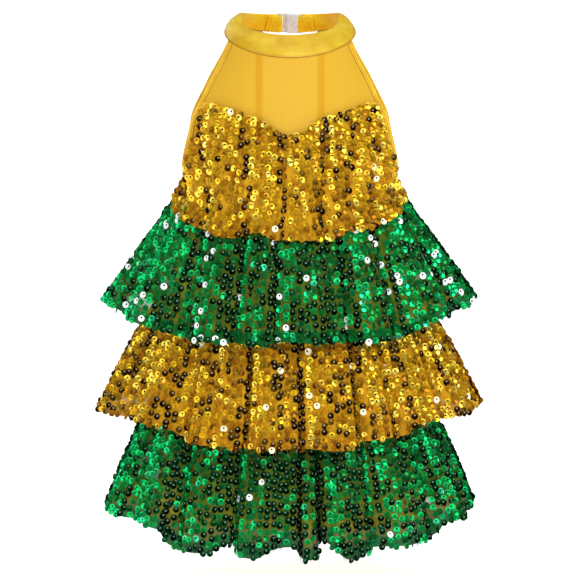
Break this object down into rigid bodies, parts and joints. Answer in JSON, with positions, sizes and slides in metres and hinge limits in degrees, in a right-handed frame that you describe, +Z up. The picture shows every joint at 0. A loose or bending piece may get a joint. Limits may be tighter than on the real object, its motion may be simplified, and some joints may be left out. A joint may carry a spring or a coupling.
{
  "type": "sequin dance outfit",
  "caption": "Child's halter-neck dance dress with a satin collar, sheer yoke, open back and gathered sequin tiers over a slip.",
  "frame": {"origin": "centre of the neck opening, between the collar's sides, where the wearer's neck holds the dress", "axes": "+Z up along the wearer's spine, -Y out of the dress's front, +X to the right seen from the front"},
  "size_m": [0.364, 0.2708, 0.5076],
  "materials": {
    "satin_yellow": "yellow satin with a soft sheen",
    "mesh_yellow": "sheer stretch mesh with fine upright ribs",
    "trim_yellow": "matt yellow stretch binding, stitched",
    "slip_yellow": "opaque yellow stretch knit",
    "clear_plastic": "clear plastic, slightly frosted",
    "sequin_gold": "glossy gold sequins on gold net",
    "sequin_green": "glossy green sequins on green net"
  },
  "bodies": {
    "root": {"collar_band": "satin_yellow", "clasp_hook": "clear_plastic", "clasp_loop": "clear_plastic", "yoke_front": "mesh_yellow", "yoke_back_left": "mesh_yellow", "yoke_back_right": "mesh_yellow", "armhole_binding_left": "trim_yellow", "armhole_binding_right": "trim_yellow", "back_opening_binding_left": "trim_yellow", "back_opening_binding_right": "trim_yellow", "slip_front": "slip_yellow", "slip_back": "slip_yellow", "tier_1_front": "sequin_gold", "tier_1_back": "sequin_gold", "tier_2_front": "sequin_green", "tier_2_back": "sequin_green", "tier_3_front": "sequin_gold", "tier_3_back": "sequin_gold", "tier_4_front": "sequin_green", "tier_4_back": "sequin_green"}
  },
  "joints": []
}
